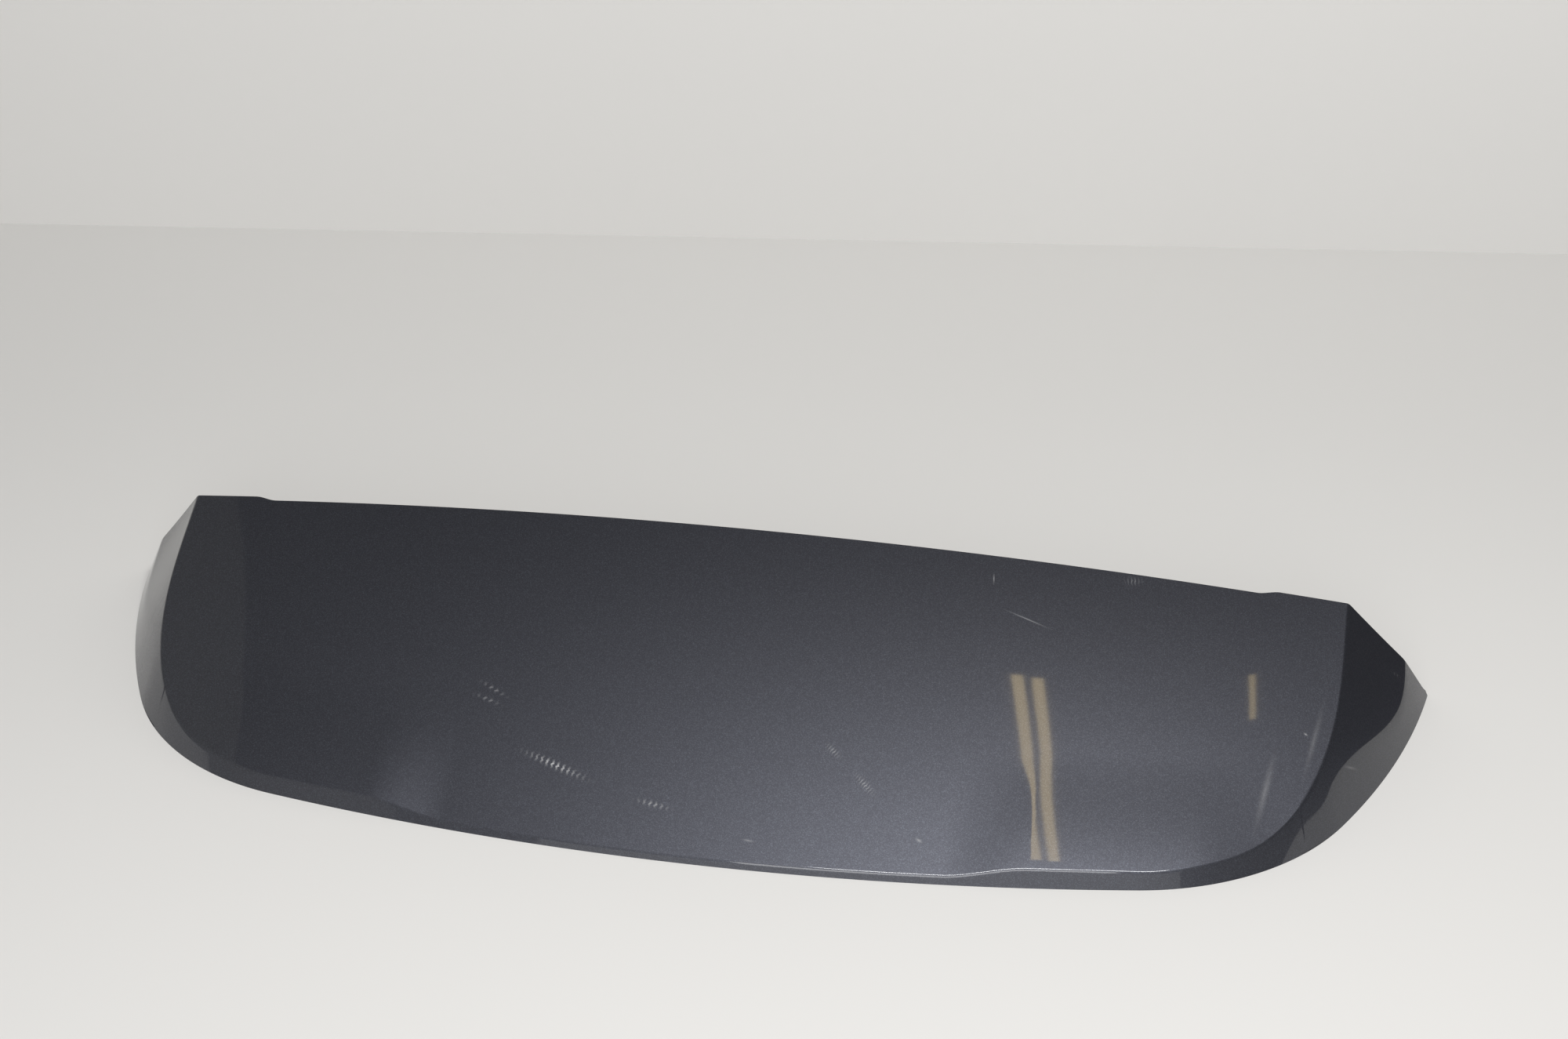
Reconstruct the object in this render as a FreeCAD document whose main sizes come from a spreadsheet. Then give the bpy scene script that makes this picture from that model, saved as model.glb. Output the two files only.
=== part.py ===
# Tailgate spoiler: a painted outer skin bonded over a black lower panel, with the studs, foam rings,
# spring clips and foam strips that fix it to a tailgate. Millimetres, +Z up, +Y towards the car's roof,
# +X along the width. The spoiler stands on the lower edge of its trailing lip, and the origin is at the
# centre of its box, on that plane.
import FreeCAD, Part

import math
import os

from FreeCAD import Placement, Rotation, Vector

# Driving dimensions
SIZES = {
    # plan of the lip's lower edge: a long rear arc, a corner arc and a side arc on each side
    "overall_width": 1200.0,
    "rear_radius": 2147.0,
    "corner_radius": 229.6,
    "corner_heading": 60.96,
    "side_radius": 694.0,
    "tip_heading": 79.2,
    "lip_draft": 24.2,
    # top of the skin: a plane that climbs to the front, crowned across the car
    "lip_height": 4.0,
    "top_slope": 0.495,
    "top_crown": 34.9,
    "top_camber": 10.0,
    "camber_run": 300.0,
    "shoulder_drop": 16.0,
    "front_half_width": 518.0,
    # kick-up of the trailing edge on each side of its low middle
    "kick_height": 5.5,
    "kick_inner_x": 206.0,
    "kick_inner_blend": 70.0,
    "kick_outer_x": 400.0,
    "kick_outer_blend": 80.0,
    "kick_run": 100.0,
    # facets that turn the ends down
    "facet_top_height": 119.0,
    "facet_top_y": 303.0,
    "facet_run": 200.0,
    "facet_fall": 1.57,
    "facet_climb": 95.7,
    "facet_curve": 29.1,
    "facet_sweep": 96.0,
    "facet_twist": 0.228,
    # front opening
    "front_lean": 0.42,
    "tab_step": 4.5,
    "tab_inner_x": 440.0,
    "tab_blend": 20.0,
    # walls and fits
    "skin_wall": 3.0,
    "panel_wall": 2.5,
    "bond_gap": 0.15,
    # lower panel
    "panel_rear_height": 3.0,
    "panel_slope": 0.33,
    "panel_crown": 20.0,
    "panel_front_setback": 22.0,
    "rib_pitch": 90.0,
    "rib_thickness": 2.2,
    "rib_depth": 9.0,
    "rib_rear_setback": 60.0,
    # studs and their bosses
    "stud_x": 330.0,
    "stud_front_y": 268.0,
    "stud_rear_y": 192.0,
    "centre_stud_x": 110.0,
    "centre_stud_y": 240.0,
    "stud_diameter": 6.0,
    "stud_length": 22.0,
    "stud_root": 10.0,
    "stud_flange_diameter": 16.0,
    "stud_flange_height": 2.0,
    "stud_hex_size": 10.0,
    "stud_hex_height": 3.0,
    "boss_diameter": 34.0,
    "boss_height": 50.0,
    "stud_clearance": 0.05,
    # foam rings round the studs
    "ring_diameter": 32.0,
    "ring_height": 5.0,
    "ring_clearance": 0.3,
    # locating pins
    "pin_x": 430.0,
    "pin_y": 262.0,
    "pin_diameter": 8.0,
    "pin_end_height": 40.0,
    "pin_taper": 4.0,
    "pin_shoulder_height": 62.0,
    "pin_shoulder_diameter": 18.0,
    # spring clips on tabs of the panel
    "clip_x": 215.0,
    "clip_pitch": 180.0,
    "clip_y": 280.0,
    "clip_tab_width": 14.0,
    "clip_tab_thickness": 2.5,
    "clip_tab_end": 66.0,
    "clip_sheet": 0.8,
    "clip_width": 12.0,
    "clip_length": 15.0,
    "clip_gap": 0.1,
    "clip_splay": 3.0,
    "clip_barb_length": 9.0,
    # foam strips at the front opening
    "seal_thickness": 5.0,
    "seal_width": 12.0,
    "seal_setback": 3.0,
    "seal_half_length": 430.0,
    "side_strip_low": 14.0,
    "side_strip_high": 92.0,
    "side_strip_thickness": 3.0,
}


def make_sheet(document, sizes):
    sheet = document.addObject("Spreadsheet::Sheet", "Sizes")
    for row, (name, value) in enumerate(sizes.items(), start=1):
        sheet.set(f"A{row}", name)
        sheet.set(f"B{row}", repr(value))
        sheet.setAlias(f"B{row}", name)
    document.recompute()
    return sheet


doc = FreeCAD.newDocument("TailgateSpoiler")
size = make_sheet(doc, SIZES)

# Values worked out from the driving dimensions
half_width = size.overall_width / 2
corner_turn = math.radians(size.corner_heading)
tip_turn = math.radians(size.tip_heading)
draft = math.tan(math.radians(size.lip_draft))
tip_reach = half_width + (size.side_radius - size.corner_radius) * math.sin(corner_turn)
rear_turn = math.asin(
    (tip_reach - size.side_radius * math.sin(tip_turn)) / (size.rear_radius - size.corner_radius)
)


def arc_centres():
    """Centres of the rear, corner and side arcs, with the trailing edge's middle at y = 0."""
    rear = Vector(0, size.rear_radius, 0)
    step = size.rear_radius - size.corner_radius
    corner = rear + Vector(math.sin(rear_turn), -math.cos(rear_turn), 0) * step
    step = size.corner_radius - size.side_radius
    side = corner + Vector(math.sin(corner_turn), -math.cos(corner_turn), 0) * step
    return rear, corner, side


def on_arc(centre, radius, heading, z):
    return centre + Vector(radius * math.sin(heading), -radius * math.cos(heading), z)


rear_centre, corner_centre, side_centre = arc_centres()
depth = on_arc(side_centre, size.side_radius, tip_turn, 0).y
rear_y = -depth / 2
front_height = (size.lip_height + size.top_slope * depth) / (1 + size.top_slope * size.front_lean)
roof = front_height + size.top_camber


def mirrored(point):
    return Vector(-point.x, point.y, point.z)


def plan_wire(inset, z):
    """The lip's plan at height z, moved in by inset, run straight on past its tips and closed in front."""
    mid = (rear_turn + corner_turn) / 2
    late = (corner_turn + tip_turn) / 2
    rear_radius = size.rear_radius - inset
    corner_radius = size.corner_radius - inset
    side_radius = size.side_radius - inset
    middle = on_arc(rear_centre, rear_radius, 0, z)
    rear_end = on_arc(rear_centre, rear_radius, rear_turn, z)
    corner_mid = on_arc(corner_centre, corner_radius, mid, z)
    corner_end = on_arc(corner_centre, corner_radius, corner_turn, z)
    side_mid = on_arc(side_centre, side_radius, late, z)
    tip = on_arc(side_centre, side_radius, tip_turn, z)
    run_on = tip + Vector(math.cos(tip_turn), math.sin(tip_turn), 0) * front_height
    edges = [
        Part.LineSegment(mirrored(run_on), mirrored(tip)),
        Part.Arc(mirrored(tip), mirrored(side_mid), mirrored(corner_end)),
        Part.Arc(mirrored(corner_end), mirrored(corner_mid), mirrored(rear_end)),
        Part.Arc(mirrored(rear_end), middle, rear_end),
        Part.Arc(rear_end, corner_mid, corner_end),
        Part.Arc(corner_end, side_mid, tip),
        Part.LineSegment(tip, run_on),
        Part.LineSegment(run_on, mirrored(run_on)),
    ]
    return Part.Wire([edge.toShape() for edge in edges])


def drafted_block(inset, low, high):
    """Everything inside the lip's drafted outer wall, moved in by inset, from height low to high."""
    wires = [plan_wire(inset + draft * z, z) for z in (low, high)]
    block = Part.makeLoft(wires, True, True)
    block.translate(Vector(0, rear_y, 0))
    return block


def smooth_step(value):
    share = min(max(value, 0.0), 1.0)
    return share * share * (3 - 2 * share)


def skin_top(x, y):
    """Height of the painted top, with the kick-up along the outer parts of its trailing edge."""
    share = x / size.front_half_width
    ahead = y - rear_y
    run = ahead / size.camber_run
    height = size.lip_height + size.top_slope * ahead - size.top_crown * share**2
    height += 4 * size.top_camber * run * (1 - run) - size.shoulder_drop * share**6 * (1 - run)
    inner = smooth_step((abs(x) - size.kick_inner_x) / size.kick_inner_blend)
    outer = 1 - smooth_step((abs(x) - size.kick_outer_x) / size.kick_outer_blend)
    edge = size.rear_radius - math.sqrt(size.rear_radius**2 - x * x)
    fade = 1 - smooth_step((ahead - edge) / size.kick_run)
    return height + size.kick_height * inner * outer * fade


def facet_top(x, y):
    """Height of the right-hand facet, which falls steeply outwards and turns under towards the rear."""
    across = x - size.front_half_width
    run = (y - rear_y - size.facet_top_y) / size.facet_run
    climb = size.facet_climb + size.facet_twist * across
    height = size.facet_top_height - size.facet_fall * across
    return height + climb * run + size.facet_curve * run**2 + size.facet_sweep * run**3


def panel_floor(x, y):
    """Height of the lower panel's underside: a gently crowned plane that climbs towards the front."""
    share = x / size.front_half_width
    return size.panel_rear_height + size.panel_slope * (y - rear_y) - size.panel_crown * share * share


def surface(height_at, drop, grid):
    """A smooth face through the height function, lowered by drop, over more than the spoiler's plan."""
    first_x, last_x, across, along = grid
    margin = size.skin_wall * 4
    first_y = rear_y - margin
    last_y = rear_y + depth + margin
    rows = []
    for i in range(across):
        x = first_x + (last_x - first_x) * i / (across - 1)
        ys = [first_y + (last_y - first_y) * j / (along - 1) for j in range(along)]
        rows.append([Vector(x, y, height_at(x, y) - drop) for y in ys])
    patch = Part.BSplineSurface()
    patch.interpolate(rows)
    return patch.toShape()


reach_x = half_width + size.skin_wall * 4
TOP_GRID = (-reach_x, reach_x, 49, 11)
FACET_GRID = (half_width * 0.6, reach_x, 5, 15)
PANEL_GRID = (-reach_x, reach_x, 7, 5)
sky = Vector(0, 0, 6 * front_height)


def mirror_x(shape):
    return shape.mirror(Vector(0, 0, 0), Vector(1, 0, 0))


def envelope(inset, low):
    """The spoiler's closed outer form, moved in by inset on every side but the front."""
    side_inset = inset / math.cos(math.radians(size.lip_draft))
    top_inset = inset * math.hypot(1, size.top_slope)
    middle_climb = (size.facet_climb - size.facet_curve + 0.75 * size.facet_sweep) / size.facet_run
    facet_inset = inset * math.hypot(1, size.facet_fall, middle_climb)
    block = drafted_block(side_inset, low, roof)
    above = surface(skin_top, top_inset, TOP_GRID).extrude(sky)
    beside = surface(facet_top, facet_inset, FACET_GRID).extrude(sky)
    return block.cut([above, beside, mirror_x(beside)])


def front_block(setback, step):
    """Everything behind the leaning front opening, moved back by setback, with the middle stepped back."""
    y = rear_y + depth - setback
    far = Vector(half_width * 1.2, y, 0)
    tab = Vector(size.tab_inner_x + size.tab_blend, y, 0)
    foot = Vector(size.tab_inner_x, y - step, 0)
    rear = Vector(far.x, rear_y - depth, 0)
    corners = [foot, tab, far, rear]
    corners += [mirrored(point) for point in reversed(corners)]
    profile = Part.Face(Part.makePolygon(corners + corners[:1]))
    slant = Vector(0, -size.front_lean, 1)
    profile.translate(slant * -front_height)
    return profile.extrude(slant * 3 * front_height)


def slab(height_at, low, high, grid):
    """The layer between two offsets of a height function."""
    return surface(height_at, -low, grid).extrude(Vector(0, 0, high - low))


def upright_block(low_x, high_x, low_z, high_z):
    corner = Vector(low_x, rear_y - depth, low_z)
    return Part.makeBox(high_x - low_x, 3 * depth, high_z - low_z, corner)


def add_shape(label, shape):
    feature = doc.addObject("Part::Feature", label)
    feature.Shape = shape
    return feature


def bind(item, **expressions):
    for name, expression in expressions.items():
        item.setExpression(name, expression)
    return item


def place(item, x, y, z):
    """Binds an object's place to cells of the sheet. y counts from the trailing edge."""
    bind(item, **{"Placement.Base.x": x, "Placement.Base.y": f"{y} - {depth / 2!r}", "Placement.Base.z": z})
    return item


def cylinder(name, diameter, height):
    item = doc.addObject("Part::Cylinder", name)
    return bind(item, Radius=f"({diameter}) / 2", Height=height)


def group(label, pieces):
    """Separate solids of one kind, kept together in one node."""
    compound = doc.addObject("Part::Compound", label)
    compound.Links = pieces
    return compound


# Outer skin
lining = envelope(size.skin_wall, -size.skin_wall)
bonded = lining.translated(Vector(0, 0, -size.bond_gap))


def make_outer_skin():
    outer = add_shape("outer_form", envelope(0, 0).common(front_block(0, size.tab_step)))
    inner = add_shape("inner_form", lining)
    skin = doc.addObject("Part::Cut", "outer_skin")
    skin.Base = outer
    skin.Tool = inner
    return skin


# Lower panel
STUDS = {
    "front_right": ("Sizes.stud_x", "Sizes.stud_front_y"),
    "front_left": ("-Sizes.stud_x", "Sizes.stud_front_y"),
    "rear_right": ("Sizes.stud_x", "Sizes.stud_rear_y"),
    "rear_left": ("-Sizes.stud_x", "Sizes.stud_rear_y"),
    "centre_right": ("Sizes.centre_stud_x", "Sizes.centre_stud_y"),
    "centre_left": ("-Sizes.centre_stud_x", "Sizes.centre_stud_y"),
}
CLIPS = {
    "outer_right": "Sizes.clip_x + Sizes.clip_pitch",
    "inner_right": "Sizes.clip_x",
    "inner_left": "-Sizes.clip_x",
    "outer_left": "-Sizes.clip_x - Sizes.clip_pitch",
}


def panel_space():
    """The room inside the skin, lowered by the bond gap, behind the panel's own front edge."""
    above_rest = upright_block(-half_width, half_width, size.bond_gap, 2 * front_height)
    return bonded.common(front_block(size.panel_front_setback, 0)).common(above_rest)


def trimmed(item, tool):
    """The part of an object that lies inside the tool."""
    kept = doc.addObject("Part::Common", f"{item.Name}_trimmed")
    kept.Base = item
    kept.Tool = tool
    return kept


def make_lower_panel():
    space = panel_space()
    middle = size.panel_wall / 2
    flat = add_shape("panel_sheet", space.common(slab(panel_floor, 0, size.panel_wall, PANEL_GRID)))
    under = add_shape("under_panel", slab(panel_floor, -front_height, middle, PANEL_GRID))
    rib_zone = add_shape("rib_zone", space.common(slab(panel_floor, -size.rib_depth, middle, PANEL_GRID)))
    moulded = [flat]
    for name, (x, y) in STUDS.items():
        boss = cylinder(f"boss_{name}", "Sizes.boss_diameter", f"{front_height!r}")
        place(boss, x, y, "Sizes.boss_height")
        moulded.append(trimmed(boss, under))
    for name, sign in (("right", ""), ("left", "-")):
        pin = cylinder(f"pin_{name}", "Sizes.pin_diameter", f"{front_height!r}")
        place(pin, f"{sign}Sizes.pin_x", "Sizes.pin_y", "Sizes.pin_end_height")
        moulded.append(trimmed(pin, under))
        shoulder = cylinder(f"pin_shoulder_{name}", "Sizes.pin_shoulder_diameter", f"{front_height!r}")
        place(shoulder, f"{sign}Sizes.pin_x", "Sizes.pin_y", "Sizes.pin_shoulder_height")
        moulded.append(trimmed(shoulder, under))
        point = doc.addObject("Part::Cone", f"pin_point_{name}")
        bind(point, Radius1="Sizes.pin_diameter / 4", Radius2="Sizes.pin_diameter / 2")
        bind(point, Height="Sizes.pin_taper")
        place(point, f"{sign}Sizes.pin_x", "Sizes.pin_y", "Sizes.pin_end_height - Sizes.pin_taper")
        moulded.append(point)
    for name, x in CLIPS.items():
        tab = doc.addObject("Part::Box", f"clip_tab_{name}")
        bind(tab, Length="Sizes.clip_tab_width", Width="Sizes.clip_tab_thickness")
        bind(tab, Height=f"{front_height!r}")
        tab_y = "Sizes.clip_y - Sizes.clip_tab_thickness / 2"
        place(tab, f"{x} - Sizes.clip_tab_width / 2", tab_y, "Sizes.clip_tab_end")
        moulded.append(trimmed(tab, under))
    count = int(size.front_half_width // size.rib_pitch)
    for i in range(-count, count + 1):
        bar = doc.addObject("Part::Box", f"rib_bar_{i + count}")
        bind(bar, Length="Sizes.rib_thickness", Height=f"{2 * front_height!r}")
        bar.setExpression("Width", f"{depth!r} - Sizes.rib_rear_setback")
        rib_x = f"{i} * Sizes.rib_pitch - Sizes.rib_thickness / 2"
        place(bar, rib_x, "Sizes.rib_rear_setback", f"{-front_height!r}")
        moulded.append(trimmed(bar, rib_zone))
    moulding = doc.addObject("Part::MultiFuse", "panel_moulding")
    moulding.Shapes = moulded
    holes = []
    for name, (x, y) in STUDS.items():
        hole = cylinder(f"hole_{name}", "Sizes.stud_diameter + 2 * Sizes.stud_clearance", "Sizes.stud_root")
        holes.append(place(hole, x, y, "Sizes.boss_height"))
    drilled = doc.addObject("Part::MultiFuse", "stud_holes")
    drilled.Shapes = holes
    panel = doc.addObject("Part::Cut", "lower_panel")
    panel.Base = moulding
    panel.Tool = drilled
    return panel


# Studs, moulded into the bosses, with a flange and a hexagon below
def make_studs():
    studs = []
    for name, (x, y) in STUDS.items():
        shank = cylinder(f"shank_{name}", "Sizes.stud_diameter", "Sizes.stud_root + Sizes.stud_length")
        place(shank, x, y, "Sizes.boss_height - Sizes.stud_length")
        flange = cylinder(f"flange_{name}", "Sizes.stud_flange_diameter", "Sizes.stud_flange_height")
        place(flange, x, y, "Sizes.boss_height - Sizes.stud_flange_height")
        hexagon = doc.addObject("Part::Prism", f"hexagon_{name}")
        hexagon.Polygon = 6
        bind(hexagon, Circumradius="Sizes.stud_hex_size / sqrt(3)", Height="Sizes.stud_hex_height")
        place(hexagon, x, y, "Sizes.boss_height - Sizes.stud_flange_height - Sizes.stud_hex_height")
        stud = doc.addObject("Part::MultiFuse", f"stud_{name}")
        stud.Shapes = [shank, flange, hexagon]
        studs.append(stud)
    return group("mounting_studs", studs)


# Foam rings that seal each stud's hole in the tailgate
def make_rings():
    rings = []
    for name, (x, y) in STUDS.items():
        disc = cylinder(f"ring_disc_{name}", "Sizes.ring_diameter", "Sizes.ring_height")
        eye = cylinder(
            f"ring_eye_{name}", "Sizes.stud_flange_diameter + 2 * Sizes.ring_clearance", "Sizes.ring_height"
        )
        for item in (disc, eye):
            place(item, x, y, "Sizes.boss_height - Sizes.ring_height")
        ring = doc.addObject("Part::Cut", f"ring_{name}")
        ring.Base = disc
        ring.Tool = eye
        rings.append(ring)
    return group("foam_rings", rings)


# Spring clips pushed over the panel's tabs: a folded strip with two barbs
def make_clips():
    inner_gap = "(Sizes.clip_tab_thickness + 2 * Sizes.clip_gap)"
    outer_gap = "(Sizes.clip_tab_thickness + 2 * Sizes.clip_gap + 2 * Sizes.clip_sheet)"
    foot = "Sizes.clip_tab_end - Sizes.clip_sheet"
    clips = []
    for name, x in CLIPS.items():
        left = f"{x} - Sizes.clip_width / 2"
        folded = doc.addObject("Part::Box", f"clip_fold_{name}")
        bind(folded, Length="Sizes.clip_width", Width=outer_gap)
        bind(folded, Height="Sizes.clip_length + Sizes.clip_sheet")
        place(folded, left, f"Sizes.clip_y - {outer_gap} / 2", foot)
        slot = doc.addObject("Part::Box", f"clip_slot_{name}")
        bind(slot, Length="Sizes.clip_width", Width=inner_gap, Height="Sizes.clip_length")
        place(slot, left, f"Sizes.clip_y - {inner_gap} / 2", "Sizes.clip_tab_end")
        strip = doc.addObject("Part::Cut", f"clip_strip_{name}")
        strip.Base = folded
        strip.Tool = slot
        pieces = [strip]
        for side, sign in (("front", 1), ("rear", -1)):
            barb = doc.addObject("Part::Wedge", f"clip_barb_{side}_{name}")
            bind(barb, Xmin="0", Xmax="Sizes.clip_width", X2min="0", X2max="Sizes.clip_width")
            bind(barb, Ymin="0", Ymax="Sizes.clip_barb_length", Zmin="-Sizes.clip_sheet", Zmax="0")
            bind(barb, Z2min="Sizes.clip_splay - Sizes.clip_sheet", Z2max="Sizes.clip_splay")
            turn = Rotation(Vector(0, 0, 1), 90 + sign * 90).multiply(Rotation(Vector(1, 0, 0), 90))
            barb.Placement = Placement(Vector(0, 0, 0), turn)
            barb_x = f"{x} + {sign} * Sizes.clip_width / 2"
            place(barb, barb_x, f"Sizes.clip_y + {sign} * {outer_gap} / 2", "Sizes.clip_tab_end")
            pieces.append(barb)
        clip = doc.addObject("Part::MultiFuse", f"clip_{name}")
        clip.Shapes = pieces
        clips.append(clip)
    return group("spring_clips", clips)


# Foam strips on the inside of the skin, just behind the front opening
def front_band():
    near = front_block(size.seal_setback, size.tab_step)
    return near.cut(front_block(size.seal_setback + size.seal_width, size.tab_step))


def make_strips():
    band = front_band()
    middle = upright_block(-size.seal_half_length, size.seal_half_length, 0, 2 * front_height)
    drop = Vector(0, 0, -size.seal_thickness * math.hypot(1, size.top_slope))
    seal = add_shape("front_seal", bonded.common(band.common(middle)).cut(lining.translated(drop)))
    right = upright_block(0, size.overall_width, size.side_strip_low, size.side_strip_high)
    shift = Vector(-size.side_strip_thickness, 0, 0)
    strip = bonded.common(band.common(right)).cut(lining.translated(shift))
    right_strip = add_shape("side_strip_right", strip)
    left_strip = add_shape("side_strip_left", mirror_x(strip))
    return [seal, left_strip, right_strip]


nodes = [make_outer_skin(), make_lower_panel(), make_studs(), make_rings(), make_clips()]
nodes += make_strips()
doc.recompute()

for item in doc.Objects:
    if "Invalid" in item.State or "Error" in item.State:
        raise RuntimeError(f"{item.Label} did not build: {item.State}")
for node in nodes:
    if node.Shape.isNull() or not node.Shape.isValid():
        raise RuntimeError(f"{node.Label} has no valid shape")

os.makedirs("parts", exist_ok=True)
for node in nodes:
    node.Shape.exportStep(f"parts/{node.Label}.step")
    print(node.Label, len(node.Shape.Solids), round(node.Shape.Volume / 1000, 1))
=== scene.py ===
import math

import bpy
import numpy as np
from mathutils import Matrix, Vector


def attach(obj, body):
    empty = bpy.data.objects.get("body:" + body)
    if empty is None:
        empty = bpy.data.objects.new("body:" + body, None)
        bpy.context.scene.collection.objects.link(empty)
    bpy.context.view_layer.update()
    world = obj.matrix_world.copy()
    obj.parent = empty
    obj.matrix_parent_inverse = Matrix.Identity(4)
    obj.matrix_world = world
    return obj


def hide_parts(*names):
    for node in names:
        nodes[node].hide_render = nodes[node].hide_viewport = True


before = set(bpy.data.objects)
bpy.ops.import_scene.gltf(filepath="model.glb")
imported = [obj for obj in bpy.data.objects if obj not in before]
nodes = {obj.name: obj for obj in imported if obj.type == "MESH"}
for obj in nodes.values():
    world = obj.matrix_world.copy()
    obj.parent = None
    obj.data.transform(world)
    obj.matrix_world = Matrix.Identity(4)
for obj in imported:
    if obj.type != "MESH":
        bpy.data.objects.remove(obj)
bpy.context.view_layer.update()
print("frame loaded:", len(nodes), "nodes")


def linear(hexColour):
    # sRGB hex to the linear values the shaders take
    channels = [int(hexColour[i:i + 2], 16) / 255 for i in (1, 3, 5)]
    return [c / 12.92 if c <= 0.04045 else ((c + 0.055) / 1.055) ** 2.4 for c in channels] + [1.0]


def addNode(tree, kind, settings=None, **links):
    # one shader node: settings go on its properties or sockets, links are sockets or plain values
    node = tree.nodes.new(kind)
    for name, value in (settings or {}).items():
        if hasattr(node, name):
            setattr(node, name, value)
        else:
            node.inputs[name].default_value = value
    for name, value in links.items():
        byNumber = name[0] == "i" and name[1:].isdigit()
        socket = node.inputs[int(name[1:]) if byNumber else name.replace("_", " ")]
        if isinstance(value, bpy.types.NodeSocket):
            tree.links.new(value, socket)
        else:
            socket.default_value = value
    return node


def newMaterial(name):
    material = bpy.data.materials.new(name)
    material.use_nodes = True
    return material, material.node_tree, material.node_tree.nodes["Principled BSDF"]


# outer skin: the same surfaces as the CAD skin, in mm, with its creases rounded as moulded and painted
skin = dict(
    width=1200.0, rearRadius=2147.0, cornerRadius=229.6, cornerHeading=60.96, sideRadius=694.0,
    tipHeading=79.2, lipDraft=24.2, lipHeight=4.0, topSlope=0.495, topCrown=34.9, topCamber=10.0,
    camberRun=300.0, shoulderDrop=16.0, frontHalfWidth=518.0, kickHeight=5.5, kickInnerX=206.0,
    kickInnerBlend=70.0, kickOuterX=400.0, kickOuterBlend=80.0, kickRun=100.0, facetHeight=119.0,
    facetY=303.0, facetRun=200.0, facetFall=1.57, facetClimb=95.7, facetCurve=29.1, facetSweep=96.0,
    facetTwist=0.228, frontLean=0.42, tabStep=4.5, tabInnerX=440.0, tabBlend=20.0, wall=3.0,
    lipRound=1.6, facetRound=2.5,
)
# the skin's mesh: columns along the outline, and rows in mm from each crease with even ones between
skinMesh = dict(
    columns=521, tipTrim=0.4, frontTrim=0.2, frontSearch=5.0, endShare=0.996, leastGap=1.5, leastShare=0.3,
    lipSearch=0.8, halvings=45, frontHalvings=50, slopeStep=0.05, easeIn=0.35, easeInRun=0.3, easeOut=0.5,
    rimFirst=[0.2], lipLast=[1.1, 0.7, 0.35], lipFirst=[0.35, 0.7, 1.1, 2.0, 4.0],
    facetLast=[8.0, 4.5, 2.6, 1.3], facetFirst=[1.3, 2.6, 4.5, 8.0], frontLast=[1.0],
    wallRows=4, facetRows=9, topRows=26,
)

cornerTurn = math.radians(skin["cornerHeading"])
tipTurn = math.radians(skin["tipHeading"])
draft = math.tan(math.radians(skin["lipDraft"]))
reach = skin["width"] / 2 + (skin["sideRadius"] - skin["cornerRadius"]) * math.sin(cornerTurn)
reach -= skin["sideRadius"] * math.sin(tipTurn)
rearTurn = math.asin(reach / (skin["rearRadius"] - skin["cornerRadius"]))
rearCentre = np.array([0.0, skin["rearRadius"]])
step = skin["rearRadius"] - skin["cornerRadius"]
cornerCentre = rearCentre + step * np.array([math.sin(rearTurn), -math.cos(rearTurn)])
step = skin["cornerRadius"] - skin["sideRadius"]
sideCentre = cornerCentre + step * np.array([math.sin(cornerTurn), -math.cos(cornerTurn)])
tipPoint = sideCentre + skin["sideRadius"] * np.array([math.sin(tipTurn), -math.cos(tipTurn)])
depth = tipPoint[1]


def smoothStep(value):
    share = np.clip(value, 0, 1)
    return share * share * (3 - 2 * share)


def inwardDistance(x, y):
    # how far a point lies inside the lip's lower edge
    x = np.abs(x)
    heading = np.arctan2(x - cornerCentre[0], cornerCentre[1] - y)
    rear = skin["rearRadius"] - np.hypot(x - rearCentre[0], y - rearCentre[1])
    corner = skin["cornerRadius"] - np.hypot(x - cornerCentre[0], y - cornerCentre[1])
    side = skin["sideRadius"] - np.hypot(x - sideCentre[0], y - sideCentre[1])
    inside = np.where(heading < rearTurn, rear, np.where(heading < cornerTurn, corner, side))
    return np.where((heading < 0) & (y > cornerCentre[1]), rear, inside)


def softMin(a, b, k):
    h = np.clip(k - np.abs(a - b), 0, None) / k
    return np.minimum(a, b) - h * h * k / 4


def formHeights(x, y, inset):
    # heights of the top, the side facet and the lip; an inset of the wall's thickness gives the inner face
    share = x / skin["frontHalfWidth"]
    inner = smoothStep((np.abs(x) - skin["kickInnerX"]) / skin["kickInnerBlend"])
    outer = 1 - smoothStep((np.abs(x) - skin["kickOuterX"]) / skin["kickOuterBlend"])
    edge = skin["rearRadius"] - np.sqrt(skin["rearRadius"] ** 2 - x * x)
    fade = 1 - smoothStep((y - edge) / skin["kickRun"])
    run = y / skin["camberRun"]
    top = skin["lipHeight"] + skin["topSlope"] * y - skin["topCrown"] * share ** 2
    top = top + 4 * skin["topCamber"] * run * (1 - run) - skin["shoulderDrop"] * share ** 6 * (1 - run)
    top = top + skin["kickHeight"] * inner * outer * fade - inset * math.hypot(1, skin["topSlope"])
    run = (y - skin["facetY"]) / skin["facetRun"]
    across = np.abs(x) - skin["frontHalfWidth"]
    facet = skin["facetHeight"] - skin["facetFall"] * across
    facet = facet + (skin["facetClimb"] + skin["facetTwist"] * across) * run
    facet = facet + skin["facetCurve"] * run ** 2 + skin["facetSweep"] * run ** 3
    climb = (skin["facetClimb"] - skin["facetCurve"] + 0.75 * skin["facetSweep"]) / skin["facetRun"]
    facet = facet - inset * math.hypot(1, skin["facetFall"], climb)
    wall = (inwardDistance(x, y) - inset / math.cos(math.radians(skin["lipDraft"]))) / draft
    return top, facet, wall


def skinHeight(x, y, inset):
    top, facet, wall = formHeights(x, y, inset)
    return softMin(softMin(top, facet, skin["facetRound"]), wall, skin["lipRound"])


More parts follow.
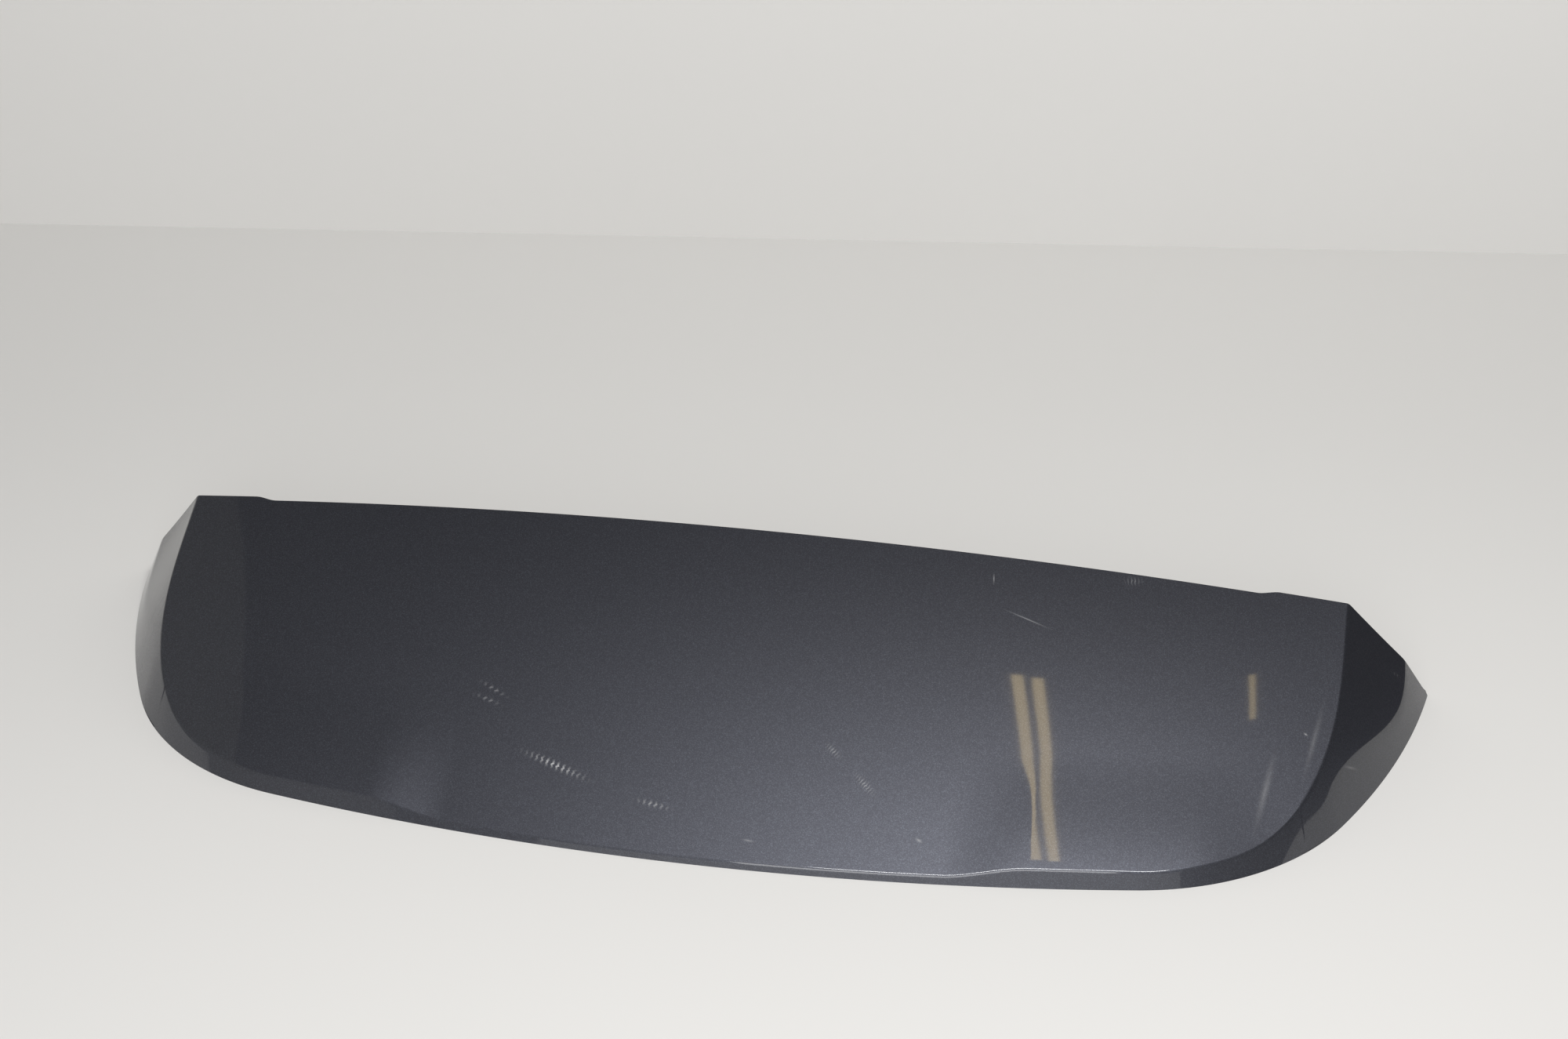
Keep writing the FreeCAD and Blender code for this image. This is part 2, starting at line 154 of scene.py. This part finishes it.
def skinNormal(x, y, inset):
    e = skinMesh["slopeStep"]
    slopeX = (skinHeight(x + e, y, inset) - skinHeight(x - e, y, inset)) / (2 * e)
    slopeY = (skinHeight(x, y + e, inset) - skinHeight(x, y - e, inset)) / (2 * e)
    normal = np.stack([-slopeX, -slopeY, np.ones_like(slopeX)], -1)
    return normal / np.linalg.norm(normal, axis=-1, keepdims=True)


def frontBoundary(x, low, inset):
    # y where each column meets the leaning front opening
    tab = smoothStep((np.abs(x) - skin["tabInnerX"]) / skin["tabBlend"])
    plane = depth - skin["tabStep"] * (1 - tab)
    near, far = low.copy(), np.full_like(x, depth + skinMesh["frontSearch"])
    for _ in range(skinMesh["frontHalvings"]):
        middle = (near + far) / 2
        beyond = middle + skin["frontLean"] * skinHeight(x, middle, inset) > plane
        far = np.where(beyond, middle, far)
        near = np.where(beyond, near, middle)
    return (near + far) / 2


def outlinePoints(count):
    # points and inward normals along the lip's lower edge, from the left tip to the right one
    rearLength = skin["rearRadius"] * rearTurn
    cornerLength = skin["cornerRadius"] * (cornerTurn - rearTurn)
    sideLength = skin["sideRadius"] * (tipTurn - cornerTurn)
    total = rearLength + cornerLength + sideLength - skinMesh["tipTrim"]
    along = np.linspace(-total, total, count)
    s = np.abs(along)
    first, second = rearLength, rearLength + cornerLength
    heading = np.where(s < first, s / skin["rearRadius"], rearTurn + (s - first) / skin["cornerRadius"])
    heading = np.where(s < second, heading, cornerTurn + (s - second) / skin["sideRadius"])
    radius = np.where(s < second, skin["cornerRadius"], skin["sideRadius"])
    radius = np.where(s < first, skin["rearRadius"], radius)
    centre = np.where((s < second)[:, None], cornerCentre, sideCentre)
    centre = np.where((s < first)[:, None], rearCentre, centre)
    outward = np.stack([np.sin(heading), -np.cos(heading)], -1)
    points = centre + radius[:, None] * outward
    sign = np.sign(along)[:, None] * np.array([1.0, 0.0]) + np.array([0.0, 1.0])
    return points * sign, -outward * sign


def crossing(gap, near, far):
    # where a gap that starts below zero along each column rises through it
    for _ in range(skinMesh["halvings"]):
        middle = (near + far) / 2
        passed = gap(middle) > 0
        far = np.where(passed, middle, far)
        near = np.where(passed, near, middle)
    return far


def spacedRows(start, end, length, first, last, count):
    # row places between two creases: close to the first, even, then close to the last
    span = (end - start) * length
    tightFirst = np.minimum(1, span / (3 * first[-1]))
    tightLast = np.minimum(1, span / (3 * last[0]))
    rowsAt = [start + gap * tightFirst / length for gap in first]
    low = rowsAt[-1]
    high = end - last[0] * tightLast / length
    rowsAt += [low + (high - low) * (k + 1) / (count + 1) for k in range(count)]
    return rowsAt + [end - gap * tightLast / length for gap in last]


def skinGrid(inset):
    # rows run from the lower edge, over the lip's crease and the facet's, to the front edge
    edge, inward = outlinePoints(skinMesh["columns"])
    start = edge + inward * inset / math.cos(math.radians(skin["lipDraft"]))
    start[:, 1] = np.minimum(start[:, 1], depth - skinMesh["frontTrim"])
    along = np.linspace(-1, 1, skinMesh["columns"])
    endX = along * start[-1, 0] * skinMesh["endShare"]
    end = np.stack([endX, frontBoundary(endX, start[:, 1].copy(), inset)], -1)
    run = end - start
    length = np.linalg.norm(run, axis=1)

    def forms(share):
        place = start + run * share[:, None]
        return formHeights(place[:, 0], place[:, 1], inset)

    def lipGap(share):
        top, facet, wall = forms(share)
        return wall - np.minimum(top, facet)

    def facetGap(share):
        top, facet, _ = forms(share)
        return facet - top

    lipAt = crossing(lipGap, np.zeros_like(length), np.full_like(length, skinMesh["lipSearch"]))
    lipAt = np.maximum(lipAt, np.minimum(skinMesh["leastGap"] / length, skinMesh["leastShare"]))
    facetAt = crossing(facetGap, lipAt, np.ones_like(length))
    share = np.abs(along)
    noFacet = facetGap(lipAt) > 0
    allFacet = facetGap(np.ones_like(length)) < 0
    meetLip = share[noFacet].max()
    meetFront = share[allFacet].min()
    # past its ends the facet's crease goes on as plain rows that ease away from the lip and the front
    easeIn = skinMesh["easeIn"] * smoothStep((meetLip - share) / skinMesh["easeInRun"])
    easeOut = skinMesh["easeOut"] * smoothStep((share - meetFront) / (1 - meetFront))
    facetAt = np.where(allFacet, 1 - (1 - lipAt) * easeOut, facetAt)
    facetAt = np.where(noFacet, lipAt + (1 - lipAt) * easeIn, facetAt)
    slack = np.minimum(skinMesh["leastGap"], (1 - lipAt) * length / 3) / length
    facetAt = np.clip(facetAt, lipAt + slack, 1 - slack)
    zero, one = np.zeros_like(length), np.ones_like(length)
    gaps = skinMesh
    rowsAt = [zero]
    rowsAt += spacedRows(zero, lipAt, length, gaps["rimFirst"], gaps["lipLast"], gaps["wallRows"])
    rowsAt += [lipAt]
    rowsAt += spacedRows(lipAt, facetAt, length, gaps["lipFirst"], gaps["facetLast"], gaps["facetRows"])
    rowsAt += [facetAt]
    rowsAt += spacedRows(facetAt, one, length, gaps["facetFirst"], gaps["frontLast"], gaps["topRows"])
    rowsAt += [one]
    t = np.stack(rowsAt)[:, :, None]
    plan = start[None] + run[None] * t
    z = np.maximum(skinHeight(plan[..., 0], plan[..., 1], inset), 0)
    z[0] = 0
    normals = skinNormal(plan[..., 0], plan[..., 1], inset)
    places = np.concatenate([plan, z[..., None]], -1)
    places[..., 1] -= depth / 2
    return places / 1000, normals


def buildSkin():
    outerPlaces, outerNormals = skinGrid(0.0)
    innerPlaces, innerNormals = skinGrid(skin["wall"])
    rows, columns = outerPlaces.shape[:2]
    count = rows * columns
    index = np.arange(count).reshape(rows, columns)
    outerFaces = np.stack([index[:-1, :-1], index[:-1, 1:], index[1:, 1:], index[1:, :-1]], -1).reshape(-1, 4)
    innerFaces = outerFaces[:, ::-1] + count
    rim = np.stack([index[0, 1:], index[0, :-1], index[0, :-1] + count, index[0, 1:] + count], -1)
    front = np.stack([index[-1, :-1], index[-1, 1:], index[-1, 1:] + count, index[-1, :-1] + count], -1)
    leftEnd = np.stack([index[:-1, 0], index[1:, 0], index[1:, 0] + count, index[:-1, 0] + count], -1)
    rightEnd = np.stack([index[1:, -1], index[:-1, -1], index[:-1, -1] + count, index[1:, -1] + count], -1)
    strips = np.concatenate([rim, front, leftEnd, rightEnd])
    faces = np.concatenate([outerFaces, strips, innerFaces])
    places = np.concatenate([outerPlaces.reshape(-1, 3), innerPlaces.reshape(-1, 3)])
    mesh = bpy.data.meshes.new("paintedSkin")
    mesh.from_pydata(places.tolist(), [], faces.tolist())
    slots = np.zeros(len(faces), np.int32)
    slots[len(outerFaces) + len(strips):] = 1
    mesh.polygons.foreach_set("material_index", slots)
    mesh.polygons.foreach_set("use_smooth", np.ones(len(faces), bool))
    vertexNormals = np.concatenate([outerNormals.reshape(-1, 3), -innerNormals.reshape(-1, 3)])
    loopNormals = vertexNormals[faces.reshape(-1)]
    a, b, c, d = (places[strips[:, k]] for k in range(4))
    flat = np.cross(c - a, d - b)
    flat /= np.maximum(np.linalg.norm(flat, axis=1, keepdims=True), 1e-12)
    firstLoop = len(outerFaces) * 4
    loopNormals[firstLoop:firstLoop + len(strips) * 4] = np.repeat(flat, 4, axis=0)
    mesh.normals_split_custom_set(loopNormals.tolist())
    piece = bpy.data.objects.new("paintedSkin", mesh)
    bpy.context.scene.collection.objects.link(piece)
    return piece


paintedSkin = buildSkin()
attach(paintedSkin, "root")
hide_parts("outer_skin")
print("skin built:", len(paintedSkin.data.polygons), "faces")

# two-stage metallic paint: a sprayed grey flake base, dark away from the light,
# under a baked clear coat that mirrors the room sharply; sizes in mm, peel height in metres
paint = dict(
    base="#505158", flakeLight="#63666e", edge="#77777b", flakeSize=0.5, flakeFrom=0.55, metallic=0.9,
    roughness=0.5, coatIor=1.5, coatRoughness=0.04, peelSize=9.0, peelHeight=0.000003,
    scuffColour="#b9b9ba", scuffRoughness=0.6,
)

# scuffs in the clear coat: centre, length and breadth in mm, turn in degrees, strength, dash spacing in mm
scuffs = [
    dict(name="dashRow", place=(-122, -115), size=(88, 10), turn=-17, strength=1.0, dash=5.0),
    dict(name="shortDashRow", place=(-34, -138), size=(46, 7), turn=-8, strength=0.6, dash=5.0),
    dict(name="fanUpper", place=(-189, -57), size=(46, 6), turn=-25, strength=0.45, dash=6.0),
    dict(name="fanLower", place=(-192, -66), size=(40, 6), turn=-18, strength=0.45, dash=6.0),
    dict(name="longScratch", place=(250, 55), size=(58, 2.2), turn=-16, strength=0.5, dash=0),
    dict(name="tick", place=(217, 89), size=(16, 2.2), turn=-83, strength=0.6, dash=0),
    dict(name="smudge", place=(335, 108), size=(26, 14), turn=12, strength=0.35, dash=3.0),
    dict(name="scuffMiddle", place=(106, -81), size=(26, 9), turn=-35, strength=0.45, dash=2.5),
    dict(name="scuffNear", place=(136, -104), size=(34, 10), turn=-38, strength=0.45, dash=2.5),
    dict(name="scuffRight", place=(186, -140), size=(10, 4), turn=-20, strength=0.4, dash=0),
    dict(name="scuffEdge", place=(49, -157), size=(16, 3), turn=-4, strength=0.3, dash=0),
    dict(name="smearInner", place=(458, -53), size=(92, 10), turn=-100, strength=0.22, dash=0),
    dict(name="smearOuter", place=(495, -2), size=(92, 8), turn=-101, strength=0.18, dash=0),
    dict(name="nick", place=(488, 1), size=(6, 3), turn=-24, strength=0.7, dash=0),
    dict(name="facetScuff", place=(566, 133), size=(20, 4), turn=43, strength=0.35, dash=4.0),
    dict(name="facetScratch", place=(528, 7), size=(28, 2), turn=48, strength=0.3, dash=0),
]
# the strokes within a dashed scuff, and how far down a scuff reaches, in metres
stroke = dict(ragged=2.5, cutFrom=0.5, cutFull=0.9, depth=100.0)


def scuffMask(tree, place):
    # each scuff is a thin ellipse seen from above, its ragged strokes cut by waves across it
    times, timesAdd = {"operation": "MULTIPLY"}, {"operation": "MULTIPLY_ADD"}
    total = None
    for scuff in scuffs:
        x, y = (value / 1000 for value in scuff["place"])
        length, breadth = (value / 2000 for value in scuff["size"])
        turn = (0, 0, math.radians(scuff["turn"]))
        mapping = dict(Location=(x, y, 0), Rotation=turn, Scale=(length, breadth, stroke["depth"]))
        labelled = {"vector_type": "TEXTURE", "label": scuff["name"]}
        local = addNode(tree, "ShaderNodeMapping", labelled, Vector=place, **mapping)
        spread = local.outputs["Vector"]
        spot = addNode(tree, "ShaderNodeTexGradient", {"gradient_type": "QUADRATIC_SPHERE"}, Vector=spread)
        shape = spot.outputs["Fac"]
        if scuff["dash"]:
            waves = scuff["size"][0] / scuff["dash"] / 2  # whole waves over the ellipse's half length
            ragged = {"Scale": waves * math.pi / 10, "Distortion": stroke["ragged"], "Detail": 1.0}
            dashes = addNode(tree, "ShaderNodeTexWave", ragged, Vector=spread).outputs["Fac"]
            limits = {"From Min": stroke["cutFrom"], "From Max": stroke["cutFull"]}
            cut = addNode(tree, "ShaderNodeMapRange", limits, Value=dashes).outputs["Result"]
            shape = addNode(tree, "ShaderNodeMath", times, i0=shape, i1=cut).outputs[0]
        if total is None:
            joined = addNode(tree, "ShaderNodeMath", times, i0=shape, i1=scuff["strength"])
        else:
            joined = addNode(tree, "ShaderNodeMath", timesAdd, i0=shape, i1=scuff["strength"], i2=total)
        total = joined.outputs[0]
    return total


def sprayedPaint():
    material, tree, shader = newMaterial("metallicPaintClearCoat")
    place = addNode(tree, "ShaderNodeTexCoord").outputs["Object"]
    # flake drawn coarser than real flake, so that it shows
    flakes = addNode(tree, "ShaderNodeTexVoronoi", {"Scale": 1000 / paint["flakeSize"]}, Vector=place)
    sparkle = addNode(tree, "ShaderNodeSeparateColor", None, Color=flakes.outputs["Color"]).outputs["Red"]
    brightest = {"From Min": paint["flakeFrom"], "From Max": 1.0}
    lift = addNode(tree, "ShaderNodeMapRange", brightest, Value=sparkle)
    base, light, scuffed = (linear(paint[name]) for name in ("base", "flakeLight", "scuffColour"))
    rgba = {"data_type": "RGBA"}
    colour = addNode(tree, "ShaderNodeMix", rgba, i0=lift.outputs["Result"], i6=base, i7=light)
    mask = scuffMask(tree, place)
    worn = addNode(tree, "ShaderNodeMix", rgba, i0=mask, i6=colour.outputs[2], i7=scuffed)
    tree.links.new(worn.outputs[2], shader.inputs["Base Color"])
    rougher = {"To Min": paint["roughness"], "To Max": paint["scuffRoughness"]}
    dull = addNode(tree, "ShaderNodeMapRange", rougher, Value=mask)
    tree.links.new(dull.outputs["Result"], shader.inputs["Roughness"])
    flat = addNode(tree, "ShaderNodeMapRange", {"To Min": paint["metallic"], "To Max": 0.0}, Value=mask)
    tree.links.new(flat.outputs["Result"], shader.inputs["Metallic"])
    orangePeel = {"Scale": 1000 / paint["peelSize"], "Detail": 1.0}
    peel = addNode(tree, "ShaderNodeTexNoise", orangePeel, Vector=place)
    waviness = {"Strength": 1.0, "Distance": paint["peelHeight"]}
    bump = addNode(tree, "ShaderNodeBump", waviness, Height=peel.outputs["Fac"])
    tree.links.new(bump.outputs["Normal"], shader.inputs["Coat Normal"])
    # flake turns darker at a grazing view
    shader.inputs["Specular Tint"].default_value = linear(paint["edge"])
    shader.inputs["Coat Weight"].default_value = 1.0
    shader.inputs["Coat IOR"].default_value = paint["coatIor"]
    shader.inputs["Coat Roughness"].default_value = paint["coatRoughness"]
    return material


# the skin's unpainted back and the lower panel: injection-moulded black plastic,
# whose spark-eroded grain gives a dull, even black; grain size in mm, its height in metres
moulding = dict(colour="#1d1d1f", roughness=0.6, ior=1.5, grainSize=0.6, grainHeight=0.00004)


def mouldedPlastic():
    material, tree, shader = newMaterial("blackPlasticMouldedGrain")
    place = addNode(tree, "ShaderNodeTexCoord").outputs["Object"]
    fine = {"Scale": 1000 / moulding["grainSize"], "Detail": 2.0}
    grain = addNode(tree, "ShaderNodeTexNoise", fine, Vector=place)
    relief = {"Strength": 1.0, "Distance": moulding["grainHeight"]}
    bump = addNode(tree, "ShaderNodeBump", relief, Height=grain.outputs["Fac"])
    tree.links.new(bump.outputs["Normal"], shader.inputs["Normal"])
    shader.inputs["Base Color"].default_value = linear(moulding["colour"])
    shader.inputs["Roughness"].default_value = moulding["roughness"]
    shader.inputs["IOR"].default_value = moulding["ior"]
    return material


# studs: cold-headed steel with a rolled M6 thread, zinc plated to a pale, soft shine; sizes in mm
stud = dict(
    places=[(330, 268), (-330, 268), (330, 192), (-330, 192), (110, 240), (-110, 240)],
    endHeight=28.0, hexHeight=45.0, flangeHeight=48.0, seatHeight=50.0, rootHeight=60.0,
    threadRadius=3.0, coreRadius=2.45, tipInset=0.3, threadOver=0.3, pitch=1.0, hexSize=10.0,
    flangeRadius=8.0, chamfer=0.4, overlap=0.2, sides=28, hexSides=6, flangeSides=48, rowsPerTurn=6,
    colour="#b9b9b2", roughness=0.32,
)


def turnedRings(rings, sides):
    # a closed solid of rings (radius by angle, height), capped at both ends
    angle = np.arange(sides) * 2 * np.pi / sides
    places = []
    for radius, height in rings:
        level = np.broadcast_to(height, sides)
        places.append(np.stack([radius * np.cos(angle), radius * np.sin(angle), level], -1))
    faces = [list(range(sides))[::-1], [(len(rings) - 1) * sides + k for k in range(sides)]]
    for row in range(len(rings) - 1):
        low, high = row * sides, (row + 1) * sides
        for k in range(sides):
            following = (k + 1) % sides
            faces.append([low + k, low + following, high + following, high + k])
    return np.concatenate(places), faces


def threadRings():
    angle = np.arange(stud["sides"]) / stud["sides"]
    rings = []
    top = stud["hexHeight"] + stud["threadOver"]
    for height in np.arange(stud["endHeight"], top, stud["pitch"] / stud["rowsPerTurn"]):
        phase = (height / stud["pitch"] - angle) % 1
        ridge = np.abs(2 * phase - 1)
        radius = stud["coreRadius"] + (stud["threadRadius"] - stud["coreRadius"]) * ridge
        leadIn = stud["coreRadius"] - stud["tipInset"] + height - stud["endHeight"]
        rings.append((np.minimum(radius, leadIn), height))
    return rings


def buildStuds():
    chamfer, overlap = stud["chamfer"], stud["overlap"]
    hexLow, flangeLow, seat = stud["hexHeight"], stud["flangeHeight"], stud["seatHeight"]
    hexRadius = stud["hexSize"] / math.sqrt(3)
    hexRings = [(hexRadius - chamfer, hexLow), (hexRadius, hexLow + chamfer)]
    hexRings.append((hexRadius, flangeLow + overlap))
    flange = stud["flangeRadius"]
    flangeRings = [(flange - chamfer, flangeLow), (flange, flangeLow + chamfer), (flange, seat)]
    rootRings = [(stud["threadRadius"], seat - overlap), (stud["threadRadius"], stud["rootHeight"])]
    solids = [turnedRings(threadRings(), stud["sides"]), turnedRings(hexRings, stud["hexSides"])]
    solids += [turnedRings(flangeRings, stud["flangeSides"]), turnedRings(rootRings, stud["sides"])]
    places, faces = [], []
    for x, y in stud["places"]:
        for points, sheets in solids:
            faces += [[index + len(places) for index in sheet] for sheet in sheets]
            places += ((points + (x, y - depth / 2, 0)) / 1000).tolist()
    mesh = bpy.data.meshes.new("threadedStuds")
    mesh.from_pydata(places, [], faces)
    piece = bpy.data.objects.new("threadedStuds", mesh)
    bpy.context.scene.collection.objects.link(piece)
    return piece


def zincSteel():
    material, _, shader = newMaterial("zincPlatedSteelRolledThread")
    shader.inputs["Base Color"].default_value = linear(stud["colour"])
    shader.inputs["Metallic"].default_value = 1.0
    shader.inputs["Roughness"].default_value = stud["roughness"]
    return material


threadedStuds = buildStuds()
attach(threadedStuds, "root")
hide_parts("mounting_studs")
print("studs built:", len(threadedStuds.data.polygons), "faces")

# clips: spring steel strip, phosphated and oiled to a dark, dull sheen
clip = dict(colour="#4a4b4e", roughness=0.45)


def springSteel():
    material, _, shader = newMaterial("springSteelPhosphated")
    shader.inputs["Base Color"].default_value = linear(clip["colour"])
    shader.inputs["Metallic"].default_value = 1.0
    shader.inputs["Roughness"].default_value = clip["roughness"]
    return material


# rings and strips: die-cut closed-cell foam, matt with fine pits; cell size in mm, its height in metres
foam = dict(colour="#222223", roughness=0.9, cellSize=0.8, cellHeight=0.0002, pitStrength=0.6)


def cellFoam():
    material, tree, shader = newMaterial("closedCellFoamDieCut")
    place = addNode(tree, "ShaderNodeTexCoord").outputs["Object"]
    cells = addNode(tree, "ShaderNodeTexVoronoi", {"Scale": 1000 / foam["cellSize"]}, Vector=place)
    pits = {"Strength": foam["pitStrength"], "Distance": foam["cellHeight"]}
    bump = addNode(tree, "ShaderNodeBump", pits, Height=cells.outputs["Distance"])
    tree.links.new(bump.outputs["Normal"], shader.inputs["Normal"])
    shader.inputs["Base Color"].default_value = linear(foam["colour"])
    shader.inputs["Roughness"].default_value = foam["roughness"]
    return material


paintMaterial = sprayedPaint()
plasticMaterial = mouldedPlastic()
foamMaterial = cellFoam()
paintedSkin.data.materials.append(paintMaterial)
paintedSkin.data.materials.append(plasticMaterial)
threadedStuds.data.materials.append(zincSteel())
nodeMaterials = {
    "lower_panel": plasticMaterial, "spring_clips": springSteel(),
    "foam_rings": foamMaterial, "front_seal": foamMaterial,
    "side_strip_left": foamMaterial, "side_strip_right": foamMaterial,
}
for name, material in nodeMaterials.items():
    for i in range(len(nodes[name].data.materials)):
        nodes[name].data.materials[i] = material
print("materials set:", len(bpy.data.materials))

# pale table top in two sheets, the pale wall behind it and a dim wall far left, in metres
room = dict(
    tableColour="#dcdbd9", tableRoughness=0.8, wallColour="#dedddb", wallRoughness=0.7,
    wallPoint=(-1.0906, 0.9058), wallTurn=7.55, wallHeight=0.6, wallReach=3.0, tableReach=4.0,
    tableEdge=0.85, edgeLean=-0.5, sideColour="#8c8c8b", sideX=-1.8, sideHeight=2.19, sideReach=3.0,
)


def plainSheet(name, colour, roughness, corners):
    mesh = bpy.data.meshes.new(name)
    mesh.from_pydata(corners, [], [(0, 1, 2, 3)])
    sheet = bpy.data.objects.new(name, mesh)
    bpy.context.scene.collection.objects.link(sheet)
    material, _, shader = newMaterial(name + "Paint")
    shader.inputs["Base Color"].default_value = linear(colour)
    shader.inputs["Roughness"].default_value = roughness
    mesh.materials.append(material)
    return sheet


def clearFromBehind(sheet):
    # the sheet shows from its front only, so that it doesn't hide the object from behind or below
    tree = sheet.data.materials[0].node_tree
    side = addNode(tree, "ShaderNodeNewGeometry").outputs["Backfacing"]
    clear = addNode(tree, "ShaderNodeBsdfTransparent").outputs[0]
    shown = tree.nodes["Principled BSDF"].outputs[0]
    mixed = addNode(tree, "ShaderNodeMixShader", None, i0=side, i1=shown, i2=clear)
    tree.links.new(mixed.outputs[0], tree.nodes["Material Output"].inputs["Surface"])


out = room["tableReach"]
edgeNear, edgeFar = (room["tableEdge"] + room["edgeLean"] * y for y in (-out, out))
leftCorners = [(-out, -out, 0), (edgeNear, -out, 0), (edgeFar, out, 0), (-out, out, 0)]
rightCorners = [(edgeNear, -out, 0), (out, -out, 0), (out, out, 0), (edgeFar, out, 0)]
tableTop = plainSheet("tableTop", room["tableColour"], room["tableRoughness"], leftCorners)
tableRight = plainSheet("tableRight", room["tableColour"], room["tableRoughness"], rightCorners)
tableRight.visible_glossy = False  # the right facet mirrors a dark room there
turn = math.radians(room["wallTurn"])
wallX, wallY = room["wallPoint"]
ends = []
for along in (-room["wallReach"], room["wallReach"]):
    ends.append((wallX + along * math.cos(turn), wallY + along * math.sin(turn)))
tall = room["wallHeight"]
wallCorners = [(*ends[0], 0), (*ends[1], 0), (*ends[1], tall), (*ends[0], tall)]
backWall = plainSheet("backWall", room["wallColour"], room["wallRoughness"], wallCorners)
for sheet in (tableTop, tableRight, backWall):
    clearFromBehind(sheet)
x, out, tall = room["sideX"], room["sideReach"], room["sideHeight"]
sideCorners = [(x, -out, 0), (x, out, 0), (x, out, tall), (x, -out, tall)]
sideWall = plainSheet("sideWall", room["sideColour"], room["wallRoughness"], sideCorners)
sideWall.visible_camera = False  # it only shows mirrored in the clear coat
sideWall.visible_shadow = False
sideWall.visible_diffuse = False
print("stage set")

# camera as recovered from the photo's perspective
view = dict(place=(0.3769, -1.8063, 1.3145), pitch=30.653, yaw=10.252, lens=59.74, sensor=36.0)
camera = bpy.data.objects.new("camera", bpy.data.cameras.new("camera"))
camera.data.sensor_width = view["sensor"]
camera.data.lens = view["lens"]
camera.location = view["place"]
camera.rotation_euler = (math.radians(90 - view["pitch"]), 0, math.radians(view["yaw"]))
bpy.context.scene.collection.objects.link(camera)
bpy.context.scene.camera = camera

# a soft ceiling lamp, a fill and a low glow from the camera's side, and the tubes that show in the clear coat
white, tan = "#ffffff", "#e8cf98"
lamps = [
    dict(name="ceilingLamp", place=(0.5, -1.05, 2.4), aim=(0.25, -0.1, 0.0), size=(1.2, 0.5),
         watts=46, colour=white, turn=0),
    dict(name="frontFill", place=(0.4, -3.0, 1.6), aim=(0.0, 0.0, 0.0), size=(1.6, 1.0),
         watts=26, colour=white, turn=0),
    dict(name="frontGlow", place=(0.6, -3.6, 0.6), aim=(0.3, 0.0, 0.2), size=(4.0, 1.1),
         watts=9, colour=white, turn=0),
    dict(name="tubeLeft", place=(0.394, -0.09, 2.2), aim=(0.394, -0.09, 0.0), size=(0.03, 0.62),
         watts=0.35, colour=tan, turn=10.2),
    dict(name="tubeRight", place=(0.445, -0.09, 2.2), aim=(0.445, -0.09, 0.0), size=(0.03, 0.62),
         watts=0.35, colour=tan, turn=10.2),
    dict(name="farTube", place=(0.988, 0.265, 2.2), aim=(0.988, 0.265, 0.0), size=(0.02, 0.2),
         watts=0.06, colour=tan, turn=16.8),
]
for lamp in lamps:
    data = bpy.data.lights.new(lamp["name"], "AREA")
    data.shape = "RECTANGLE"
    data.size, data.size_y = lamp["size"]
    data.energy = lamp["watts"]
    data.color = linear(lamp["colour"])[:3]
    light = bpy.data.objects.new(lamp["name"], data)
    light.location = lamp["place"]
    direction = Vector(lamp["aim"]) - Vector(lamp["place"])
    light.rotation_euler = direction.to_track_quat("-Z", "Y").to_euler()
    light.rotation_euler.z += math.radians(lamp["turn"])
    bpy.context.scene.collection.objects.link(light)

# an even pale room for the shading, and the dim ceiling that the clear coat mirrors
air = dict(fill="#e9e8e6", fillStrength=0.44, mirrored="#424246", mirroredStrength=1.0)
world = bpy.data.worlds.new("room")
bpy.context.scene.world = world
world.use_nodes = True
tree = world.node_tree
fillLight = tree.nodes["Background"]
fillLight.inputs["Color"].default_value = linear(air["fill"])
fillLight.inputs["Strength"].default_value = air["fillStrength"]
dim = {"Color": linear(air["mirrored"]), "Strength": air["mirroredStrength"]}
mirrored = addNode(tree, "ShaderNodeBackground", dim).outputs[0]
glossy = addNode(tree, "ShaderNodeLightPath").outputs["Is Glossy Ray"]
mixed = addNode(tree, "ShaderNodeMixShader", None, i0=glossy, i1=fillLight.outputs[0], i2=mirrored)
tree.links.new(mixed.outputs[0], tree.nodes["World Output"].inputs["Surface"])
bpy.context.scene.view_settings.view_transform = "Standard"
print("camera and lights set")
